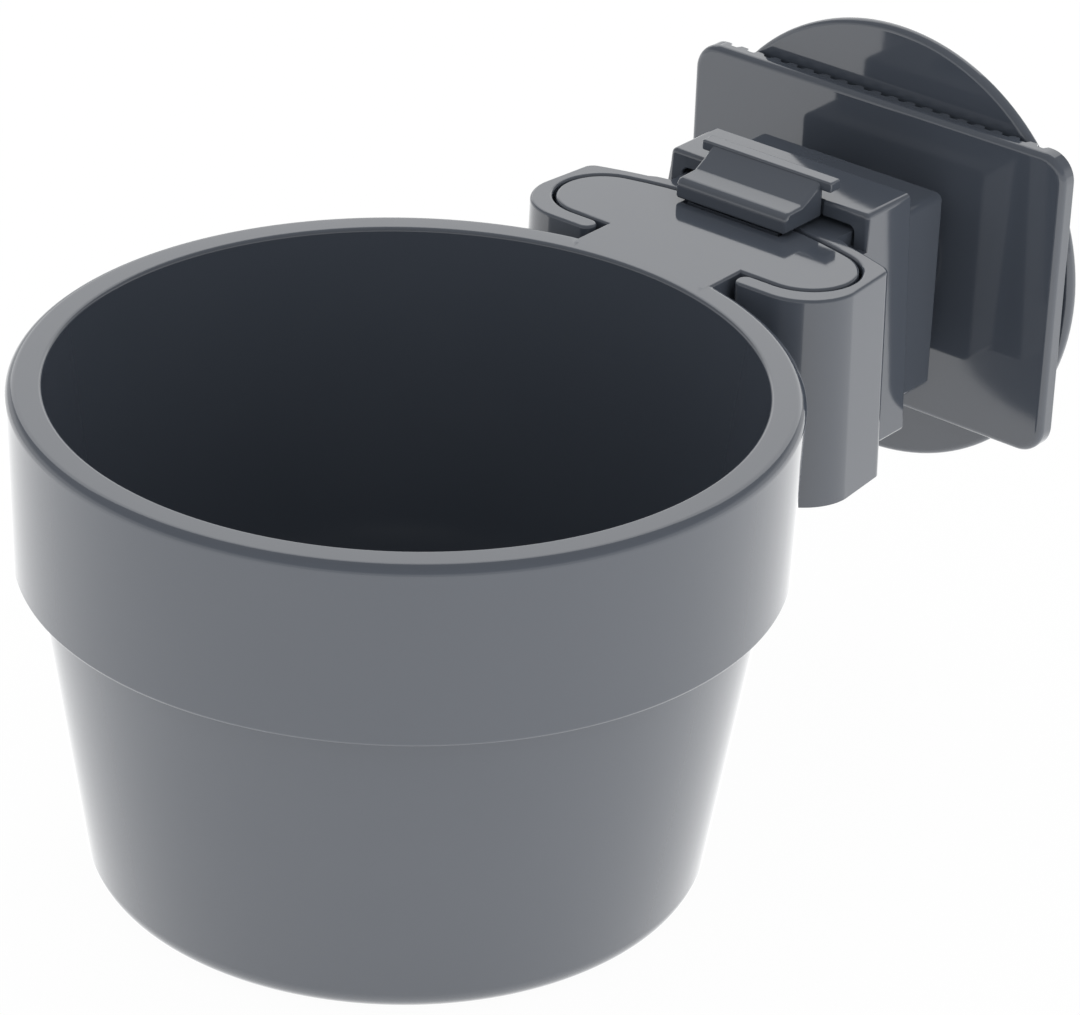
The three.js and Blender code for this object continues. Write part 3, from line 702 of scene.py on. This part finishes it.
class FEEDER_OT_bowl(Operator):
    """Turn the bowl and give it its tongue"""

    bl_idname = "feeder.bowl"
    bl_label = "Bowl"

    def execute(self, context):
        s = context.scene.bowl_sizes
        at = Layout(context.scene)
        band_low = s.rim_radius - s.band_draft
        inner_floor = -s.height + s.floor
        shell = rounded([(0, -s.height), (s.base_radius, -s.height, s.base_round),
                         (band_low - s.band_step, -s.band_height), (band_low, -s.band_height, s.band_edge),
                         (s.rim_radius, 0, s.rim_outer_round), (at.rim_inner, 0, s.rim_inner_round),
                         (s.base_radius - s.base_wall, inner_floor, s.floor_round), (0, inner_floor)])
        bowl = turned_upright("feeding_bowl", shell, s.steps)
        fuse(bowl, self.tongue(s, at), self.root(s, at))
        finish_plastic(context.scene, bowl, "bowl", "bowl", split=False)
        return {"FINISHED"}

    @staticmethod
    def tongue(s, at):
        """The T-shaped tongue, which starts on the flat of the rim and is level with it."""
        neck = s.tongue_neck / 2
        root = at.rim_inner + s.rim_width / 2
        start = [*arc((0, 0), root, math.pi / 2, math.acos(neck / root)), (neck, at.head_front)]
        plan = at.tongue_plan(start, s.tongue_end, at.head_rear, at.rib_half + s.key_gap,
                              at.rib_front - s.key_gap)
        tongue = upright("tongue", plan, -s.tongue_height, 0)

        def radius_at(middle, run, edge):
            past_root = math.hypot(middle.x, middle.y) > root + NEAR
            return s.tongue_round if past_root and not runs_along(run.z) else 0

        round_edges(tongue, radius_at)
        return tongue

    @staticmethod
    def root(s, at):
        """The block that joins the tongue's lower part to the bowl's wall."""
        half = s.tongue_neck / 2
        return block("root", (-half, half), (at.rim_inner - ROOT_SINK, s.rim_radius),
                     (-s.tongue_height + s.tongue_round, -s.band_height / 2))


class FEEDER_OT_holder(Operator):
    """Make the holder with its pocket, neck and bridge"""

    bl_idname = "feeder.holder"
    bl_label = "Holder"

    def execute(self, context):
        scene = context.scene
        s, bowl = scene.holder_sizes, scene.bowl_sizes
        at = Layout(scene)
        front = at.head_front - s.tongue_gap - s.hook
        holder = self.outside(s, at, front)
        fuse(holder, self.neck(s, at))
        neck_slot = bowl.tongue_neck / 2 + s.hook_gap
        tip = s.hook / 2
        mouth = [(neck_slot + tip, front - CUT_PAST),
                 *arc((neck_slot + tip, front + tip), tip, -math.pi / 2, -math.pi * 3 / 2)]
        plan = at.tongue_plan(mouth, bowl.tongue_end + s.tongue_gap, at.head_rear + s.tongue_gap,
                              at.rib_half, at.rib_front)
        cut(holder, upright("pocket", plan, at.pocket_floor, CUT_PAST))
        self.cut_latch_ways(holder, scene.latch_sizes, at)
        self.cut_bores(holder, scene.clamp_sizes, at)

        def radius_at(middle, run, edge):
            is_top = middle.z > -NEAR and middle.y < at.holder_rear + NEAR and not runs_along(run.z)
            on_rear = math.hypot(middle.x, middle.y) > at.holder_rear - NEAR
            at_platform = on_rear and abs(middle.x) < s.neck_top / 2
            under_latch = middle.y > at.rib_front - NEAR and abs(middle.x) < at.latch_half
            return s.top_round if is_top and not at_platform and not under_latch else 0

        round_edges(holder, radius_at)
        finish_plastic(scene, holder, "bracket", "holder", split=False)
        return {"FINISHED"}

    def outside(self, s, at, front):
        """The holder's body before its neck and its pocket."""
        flank = at.head_half + s.tongue_gap + s.side_wall
        rear = Vector((flank - s.rear_narrow - s.rear_round, 0))
        rear.y = math.sqrt((at.holder_rear - s.rear_round) ** 2 - rear.x ** 2)
        rear_angle = math.atan2(rear.y, rear.x)
        right = [*arc((flank - s.front_round, front + s.front_round), s.front_round, -math.pi / 2, 0),
                 *arc(rear, s.rear_round, 0, rear_angle),
                 *arc((0, 0), at.holder_rear, rear_angle, math.pi / 2)[1:]]
        body = upright("tongue_holder", [*right, *mirrored(right)[1:]], at.holder_bottom, 0)
        self.widen_bottom(body, at.holder_bottom, 1 + s.draft / flank)
        return body

    @staticmethod
    def widen_bottom(piece, bottom, factor):
        """Spreads the lower outline sideways, for the draft of the sides."""
        pick(piece)
        for part in (*piece.data.vertices, *piece.data.edges, *piece.data.polygons):
            part.select = False
        for vertex in piece.data.vertices:
            vertex.select = vertex.co.z - RIM_CENTRE.z < bottom + NEAR
        bpy.ops.object.mode_set(mode="EDIT")
        bpy.ops.transform.resize(value=(factor, 1, 1), center_override=RIM_CENTRE)
        bpy.ops.object.mode_set(mode="OBJECT")

    @staticmethod
    def neck(s, at):
        """The neck with its bridge and the platform under the latch."""
        top, bottom = s.neck_top / 2, s.neck_bottom / 2
        start = math.sqrt(at.holder_rear ** 2 - bottom ** 2)
        face = rounded([(-bottom, at.neck_bottom, s.neck_round), (bottom, at.neck_bottom, s.neck_round),
                        (top, s.bridge_rise, s.bridge_round), (-top, s.bridge_rise, s.bridge_round)])
        neck = along("neck", face, start, at.neck_end)
        shoulder = -s.shoulder_drop
        under_roof = s.bridge_rise - s.bridge_roof
        above = s.bridge_rise + CUT_PAST
        bay = top - s.bridge_wall
        bay_end = at.neck_end - s.bridge_rear
        bay_face = rounded([(-bay, shoulder), (bay, shoulder), (bay, under_roof, s.bridge_corner),
                            (-bay, under_roof, s.bridge_corner)])
        notch = at.latch_half + s.notch_gap
        platform = bay - s.platform_gap
        cut(neck,
            block("ahead", (-bottom, bottom), (start - CUT_PAST, at.bridge_front), (shoulder, above)),
            along("bay", bay_face, start, bay_end),
            block("notch", (-notch, notch), (start, at.stem_rear + s.platform_gap),
                  (-s.platform_drop, above)))

        def radius_at(middle, run, edge):
            if abs(middle.y - at.neck_end) < NEAR:
                return s.neck_round / 2
            at_front = abs(middle.y - at.bridge_front) < NEAR and middle.z > shoulder + NEAR
            on_notch = abs(middle.x) < notch + NEAR
            if on_notch or not at_front:
                return 0
            is_outer = abs(middle.x) > bay + s.bridge_wall / 2 or middle.z > under_roof + s.bridge_roof / 2
            return s.bridge_edge if is_outer else s.bridge_edge / INNER_EDGE_DIVISOR

        round_edges(neck, radius_at)
        fuse(neck, block("platform", (-platform, platform), (start, bay_end + CUT_PAST / 2),
                         (shoulder - CUT_PAST, -s.platform_drop)))
        return neck

    @staticmethod
    def cut_latch_ways(holder, latch, at):
        """Cuts the slot for the latch's legs and the hall under it for their barbs."""
        slot_y = (at.legs_front - latch.travel - latch.slide_gap, at.legs_rear + latch.slide_gap)
        slot_half = at.leg_half + latch.slide_gap
        hall_half = slot_half + latch.leg_barb
        cut(holder,
            block("leg slot", (-slot_half, slot_half), slot_y, (at.leg_floor_bottom - CUT_PAST / 2, 0)),
            block("barb hall", (-hall_half, hall_half), slot_y,
                  (at.barb_bottom - latch.slide_gap, at.leg_floor_bottom)))

    @staticmethod
    def cut_bores(holder, clamp, at):
        """Cuts the bores for the clamp screw and for the neck screws with their heads."""
        far = at.neck_end + CUT_PAST
        cut(holder, bar("post bore", at.bore, (at.post_tip - POST_END_GAP, far), 0, -clamp.screw_drop))
        for x, z in at.screw_places:
            cut(holder,
                bar("screw bore", at.screw_hole, (at.screw_seat - CUT_PAST, far), x, z),
                bar("head bore", at.head_hole, (at.end_centre.y, at.screw_seat), x, z))


class FEEDER_OT_latch(Operator):
    """Make the slide latch with its finger face, flange and snap legs"""

    bl_idname = "feeder.latch"
    bl_label = "Latch"

    def execute(self, context):
        s = context.scene.latch_sizes
        at = Layout(context.scene)
        top = s.lift + s.lip_height + s.face_rise
        flange_bottom = top - s.flange_thickness
        latch = across("latch_button", self.section(s, at, top), -at.latch_half, at.latch_half)

        def radius_at(middle, run, edge):
            in_flange = middle.z > flange_bottom and runs_along(run.x)
            return s.edge_round if edge.is_convex and not in_flange else 0

        round_edges(latch, radius_at)
        half = at.latch_half + s.flange_overhang
        flange = block("flange", (-half, half), (at.flange_front, at.flange_rear), (flange_bottom, top))
        round_edges(flange, lambda middle, run, edge: s.flange_round)
        leg_top = s.lift + s.lip_height / 2
        leg = [(s.leg_split / 2, leg_top), (s.leg_split / 2, at.barb_bottom), (at.leg_half, at.barb_bottom),
               (at.leg_half + s.leg_barb, at.barb_top), (at.leg_half, at.barb_top), (at.leg_half, leg_top)]
        legs = [along("leg", side, at.legs_front, at.legs_rear) for side in (leg, mirrored(leg))]
        fuse(latch, flange, *legs)
        finish_plastic(context.scene, latch, "latch", "latch_slide")
        return {"FINISHED"}

    @staticmethod
    def section(s, at, top):
        """The side of the lip, the hollow finger face and the stem up into the flange."""
        lip_top = s.lift + s.lip_height
        face_front = at.lip_front + s.lip_depth
        low = Vector((face_front, lip_top))
        mid = Vector((face_front + s.face_depth / 2 + s.face_hollow,
                      lip_top + s.face_rise / 2 - s.face_hollow))
        high = Vector((at.flange_front + s.flange_round / 2, top - s.flange_round))
        hollow = [tuple(low * (1 - t) ** 2 + mid * 2 * t * (1 - t) + high * t ** 2)
                  for t in (i / FACE_STEPS for i in range(FACE_STEPS, -1, -1))]
        fall = math.atan(s.lip_fall / s.lip_depth)
        lip_y = at.lip_front + s.lip_round
        lip_z = lip_top - (face_front - lip_y) * math.tan(fall) - s.lip_round / math.cos(fall)
        return [(at.lip_front, s.lift), (at.stem_rear, s.lift), (at.stem_rear, top - s.flange_thickness / 2),
                *hollow, *arc((lip_y, lip_z), s.lip_round, math.pi / 2 + fall, math.pi)]


class FEEDER_OT_clamp_plate(Operator):
    """Make the toothed plate with its stem and collar"""

    bl_idname = "feeder.clamp_plate"
    bl_label = "Clamp plate"

    def execute(self, context):
        s = context.scene.clamp_sizes
        at = Layout(context.scene)
        drop = s.screw_drop
        face = rectangle(s.plate_width / 2, s.plate_height / 2, -drop, s.plate_round)
        plate = along("toothed_plate", face, at.plate_front, at.grip)
        halfway = (at.plate_front + at.grip) / 2
        round_edges(plate, lambda middle, run, edge: s.plate_edge if middle.y < halfway else s.plate_back)
        self.cut_teeth(plate, s, at)
        collar_face = rectangle(s.collar_width / 2, s.collar_height / 2, -drop, s.collar_corner)
        collar = along("collar", collar_face, at.collar_front, at.collar_rear)
        round_edges(collar, lambda middle, run, edge: 0 if runs_along(run.y) else s.collar_round)
        fuse(plate, collar, turned_level("stem", self.stem_profile(s, at), 0, -drop, STEM_STEPS))
        cut(plate, bar("bore", at.bore, (at.collar_front - CUT_PAST, at.grip + CUT_PAST), 0, -drop))
        pilot_y = (at.collar_front - CUT_PAST, at.screw_tip + s.seam)
        for x, z in at.screw_places:
            cut(plate, bar("pilot", at.screw_hole, pilot_y, x, z))
        finish_plastic(context.scene, plate, "bracket", "clamp_plate")
        return {"FINISHED"}

    @staticmethod
    def cut_teeth(plate, s, at):
        """Cuts the gaps between the upright teeth."""
        root, crest = s.tooth_root / 2, (s.tooth_pitch - s.tooth_crest) / 2
        reach = s.plate_height / 2 + CUT_PAST
        gaps = int((s.plate_width / 2 - s.plate_round) / s.tooth_pitch)
        for i in range(-gaps, gaps + 1):
            middle = i * s.tooth_pitch
            gap = [(middle - crest, at.grip), (middle - root, at.tooth_roots),
                   (middle + root, at.tooth_roots), (middle + crest, at.grip),
                   (middle + crest, at.grip + CUT_PAST), (middle - crest, at.grip + CUT_PAST)]
            cut(plate, upright("tooth gap", gap, -s.screw_drop - reach, -s.screw_drop + reach))

    @staticmethod
    def stem_profile(s, at):
        """The stem's side, with a fillet at each end, reaching a little way into what it joins."""
        fillet, wide = s.stem_fillet, s.stem_radius + s.stem_fillet
        near, far = at.collar_rear, at.plate_front
        return [(0, near - STEM_SINK), (wide, near - STEM_SINK),
                *arc((wide, near + fillet), fillet, -math.pi / 2, -math.pi),
                *arc((wide, far - fillet), fillet, math.pi, math.pi / 2),
                (wide, far + STEM_SINK), (0, far + STEM_SINK)]


class FEEDER_OT_clamp_disc(Operator):
    """Turn the clamp disc with its hub"""

    bl_idname = "feeder.clamp_disc"
    bl_label = "Clamp disc"

    def execute(self, context):
        s = context.scene.clamp_sizes
        at = Layout(context.scene)
        hub = at.disc_rear + s.hub_height
        profile = rounded([(at.bore, at.disc_front), (s.disc_radius, at.disc_front, s.disc_round),
                           (s.disc_radius, at.disc_rear, s.disc_round),
                           (s.hub_radius, at.disc_rear, s.disc_round),
                           (s.hub_radius, hub, s.disc_round), (at.bore, hub)])
        disc = turned_level("pressure_disc", [*profile, profile[0]], 0, -s.screw_drop, DISC_STEPS)
        finish_plastic(context.scene, disc, "disc", "clamp_disc")
        return {"FINISHED"}


class FEEDER_OT_clamp_screw(Operator):
    """Make the wing screw with its thread"""

    bl_idname = "feeder.clamp_screw"
    bl_label = "Clamp screw"

    def execute(self, context):
        s = context.scene.clamp_sizes
        at = Layout(context.scene)
        core = s.post_radius - s.thread_depth
        profile = rounded([(0, at.post_tip), (core, at.post_tip, s.thread_depth), (core, at.knob_front),
                           (s.knob_radius, at.knob_front, s.disc_round),
                           (s.knob_radius, at.knob_rear, s.disc_round), (0, at.knob_rear)])
        screw = turned_level("wing_screw", profile, 0, -s.screw_drop, KNOB_STEPS)
        fuse(screw, self.grip(s, at), self.thread(s, at, core))
        finish_plastic(context.scene, screw, "screw", "clamp_screw")
        return {"FINISHED"}

    @staticmethod
    def grip(s, at):
        """The wing grip, with round ends, standing on the round shoulder."""
        half = s.wing_width / 2
        face = rectangle(s.wing_length / 2, half, -s.screw_drop, half * WING_END_SHARE)
        top = at.knob_rear + s.wing_height
        grip = along("grip", face, at.knob_rear - s.knob_thickness / 2, top)
        round_edges(grip, lambda middle, run, edge: s.wing_round if abs(middle.y - top) < NEAR else 0)
        return grip

    @staticmethod
    def thread(s, at, core):
        """The thread's ridge: a tooth carried along a helix about the frame's Y axis, the screw's own."""
        start = at.post_tip + s.thread_pitch
        foot = core - s.thread_depth / 2
        tooth = [(foot, start - THREAD_FOOT_HALF), (s.post_radius, start - THREAD_CREST_HALF),
                 (s.post_radius, start + THREAD_CREST_HALF), (foot, start + THREAD_FOOT_HALF)]
        ridge = wire("thread", [(x, y, -s.screw_drop) for x, y in (*tooth, tooth[0])])
        close_mesh()
        modifier = ridge.modifiers.new("helix", "SCREW")
        modifier.axis = "Y"
        modifier.screw_offset = s.thread_pitch
        modifier.iterations = int(s.thread_length / s.thread_pitch)
        modifier.steps = modifier.render_steps = THREAD_STEPS
        apply_modifier(ridge, modifier)
        open_mesh(ridge)
        bpy.ops.mesh.fill_holes(sides=len(tooth))
        close_mesh()
        return ridge


class FEEDER_OT_neck_screws(Operator):
    """Make one neck screw and copy it to its places"""

    bl_idname = "feeder.neck_screws"
    bl_label = "Neck screws"

    def execute(self, context):
        scene = context.scene
        at = Layout(scene)
        first = self.screw(scene.screw_sizes, at, at.screw_seat - scene.clamp_sizes.seam)
        x, z = at.screw_places[0]
        screws = [first]
        for letter, place in zip("bcd", at.screw_places[1:]):
            pick(first)
            bpy.ops.object.duplicate(linked=False)
            copy = bpy.context.active_object
            copy.name = copy.data.name = "neck_screw_" + letter
            open_mesh(copy)
            bpy.ops.transform.translate(value=(place[0] - x, 0, place[1] - z))
            bpy.ops.object.mode_set(mode="OBJECT")
            screws.append(copy)
        steel = turned_steel(scene.finish_colours)
        for i, screw in enumerate(screws):
            finish_piece(screw, steel, "bracket", "screw_steel", f"neck_screw_{i + 1}")
        return {"FINISHED"}

    @staticmethod
    def screw(s, at, seat):
        """A screw with a cross recess, in the first place."""
        head_top = seat - s.head_height
        x, z = at.screw_places[0]
        profile = rounded([(0, head_top), (s.head_radius, head_top, s.head_round), (s.head_radius, seat),
                           (s.radius, seat), (s.radius, at.screw_tip - s.point), (0, at.screw_tip)])
        screw = turned_level("neck_screw_a", profile, x, z, NECK_SCREW_STEPS)
        reach, half = s.head_radius - s.head_round, s.slot_width / 2
        slot_y = (head_top - CUT_PAST, head_top + s.slot_depth)
        cut(screw,
            block("level slot", (x - reach, x + reach), slot_y, (z - half, z + half)),
            block("upright slot", (x - half, x + half), slot_y, (z - reach, z + reach)))
        return screw


class FEEDER_OT_stage(Operator):
    """Set the floor, the lights, the sky and the camera"""

    bl_idname = "feeder.stage"
    bl_label = "Stage"

    def execute(self, context):
        scene = context.scene
        scene.view_settings.view_transform = "Standard"
        self.floor(scene)
        self.sky(scene)
        self.lamps(scene)
        self.camera(scene)
        return {"FINISHED"}

    @staticmethod
    def floor(scene):
        """A wide pale floor under the bowl."""
        bpy.ops.object.select_all(action="DESELECT")
        bpy.ops.mesh.primitive_plane_add(size=FLOOR_SIZE, location=(0, 0, 0))
        floor = bpy.context.active_object
        floor.name = floor.data.name = "studio_floor"
        open_mesh(floor)
        bpy.ops.mesh.subdivide(number_cuts=FLOOR_CUTS)
        bpy.ops.transform.translate(value=(0, 0, FLOOR_HEIGHT - FLOOR_DROP))
        bpy.ops.object.mode_set(mode="OBJECT")
        floor.data.materials.append(white_floor(scene.finish_colours))

    @staticmethod
    def sky(scene):
        """A white surround, which glossy pieces see bright round the sides and dim overhead."""
        world = scene.world or bpy.data.worlds.new("studio")
        scene.world = world
        world.use_nodes = True
        tree = world.node_tree
        tree.nodes.clear()
        place = add_node(tree, "TexCoord", {}).outputs["Generated"]
        height = add_node(tree, "SeparateXYZ", {"Vector": place}).outputs["Z"]
        fade = add_node(tree, "MapRange", {
            "Value": height,
            "From Min": math.sin(SKY_BRIGHT_BELOW),
            "From Max": math.sin(SKY_DIM_ABOVE),
            "To Min": 1,
            "To Max": SKY_OVERHEAD,
        }, interpolation_type="SMOOTHSTEP")
        studio = add_node(tree, "Background", {"Color": WHITE, "Strength": fade.outputs["Result"]})
        white = add_node(tree, "Background", {"Color": WHITE, "Strength": 1})
        rays = add_node(tree, "LightPath", {}).outputs
        mix = add_node(tree, "MixShader", {0: rays["Is Glossy Ray"], 1: white.outputs["Background"],
                                           2: studio.outputs["Background"]})
        add_node(tree, "OutputWorld", {"Surface": mix.outputs["Shader"]})

    def lamps(self, scene):
        """A wide light table underneath, and soft panels high behind the clamp and low to the right."""
        table = Vector((0, 0, FLOOR_HEIGHT + TABLE_LIFT - RIM_CENTRE.z))
        rear = Vector((-0.81, 1.03, 0.85))
        right = Vector((1.19, 0.17, -0.036))
        self.lamp(scene, "light table", table, Vector((0, 0, 1)), width=2.4, height=2.4, power=8.5)
        self.lamp(scene, "rear panel", rear, -rear, width=1.8, height=1.1, power=7.0)
        self.lamp(scene, "right panel", right, -right, width=1.4, height=0.06, power=2.5, in_gloss=False)

    @staticmethod
    def lamp(scene, name, place, facing, width, height, power, in_gloss=True):
        """An area lamp, placed from the rim's centre."""
        data = bpy.data.lights.new(name, "AREA")
        data.shape = "RECTANGLE"
        data.size, data.size_y = width, height
        data.energy = power
        lamp = bpy.data.objects.new(name, data)
        scene.collection.objects.link(lamp)
        lamp.location = RIM_CENTRE + place
        lamp.rotation_euler = facing.to_track_quat("-Z", "Y").to_euler()
        lamp.visible_glossy = in_gloss

    @staticmethod
    def camera(scene):
        """The camera at the photograph's angle."""
        v = scene.camera_view
        forward = Vector((math.sin(v.azimuth) * math.cos(v.elevation),
                          math.cos(v.azimuth) * math.cos(v.elevation), -math.sin(v.elevation)))
        level = Vector((math.cos(v.azimuth), -math.sin(v.azimuth), 0))
        up = level.cross(forward)
        right = level * math.cos(v.roll) + up * math.sin(v.roll)
        above = up * math.cos(v.roll) - level * math.sin(v.roll)
        data = bpy.data.cameras.new("view")
        data.sensor_width = SENSOR_WIDTH
        data.lens = v.lens
        data.clip_start, data.clip_end = CLIP_START, CLIP_END
        camera = bpy.data.objects.new("view", data)
        scene.collection.objects.link(camera)
        camera.matrix_world = Matrix((right, above, -forward)).transposed().to_4x4()
        camera.location = RIM_CENTRE + Vector(v.target) - forward * v.distance
        scene.camera = camera


class FEEDER_PT_panel(Panel):
    """The sidebar panel that lists the pieces"""

    bl_idname = "FEEDER_PT_panel"
    bl_label = "Feeding bowl"
    bl_space_type = "VIEW_3D"
    bl_region_type = "UI"
    bl_category = "Feeding bowl"

    def draw(self, context):
        for operator in OPERATORS:
            self.layout.operator(operator.bl_idname)


SETTINGS = {"bowl_sizes": BowlSizes, "holder_sizes": HolderSizes, "latch_sizes": LatchSizes,
            "clamp_sizes": ClampSizes, "screw_sizes": ScrewSizes, "finish_colours": FinishColours,
            "camera_view": CameraView}
OPERATORS = (FEEDER_OT_bowl, FEEDER_OT_holder, FEEDER_OT_latch, FEEDER_OT_clamp_plate, FEEDER_OT_clamp_disc,
             FEEDER_OT_clamp_screw, FEEDER_OT_neck_screws, FEEDER_OT_stage)
CLASSES = (*SETTINGS.values(), *OPERATORS, FEEDER_PT_panel)


def register():
    """Makes the classes and the scene's settings known to Blender."""
    for known in CLASSES:
        bpy.utils.register_class(known)
    for name, group in SETTINGS.items():
        setattr(bpy.types.Scene, name, PointerProperty(type=group))


def unregister():
    """Takes the classes and the settings away again."""
    for name in SETTINGS:
        delattr(bpy.types.Scene, name)
    for known in reversed(CLASSES):
        bpy.utils.unregister_class(known)


def main():
    """Builds everything in order."""
    register()
    bpy.ops.feeder.bowl()
    bpy.ops.feeder.holder()
    bpy.ops.feeder.latch()
    bpy.ops.feeder.clamp_plate()
    bpy.ops.feeder.clamp_disc()
    bpy.ops.feeder.clamp_screw()
    bpy.ops.feeder.neck_screws()
    bpy.ops.feeder.stage()


if __name__ == "__main__":
    main()
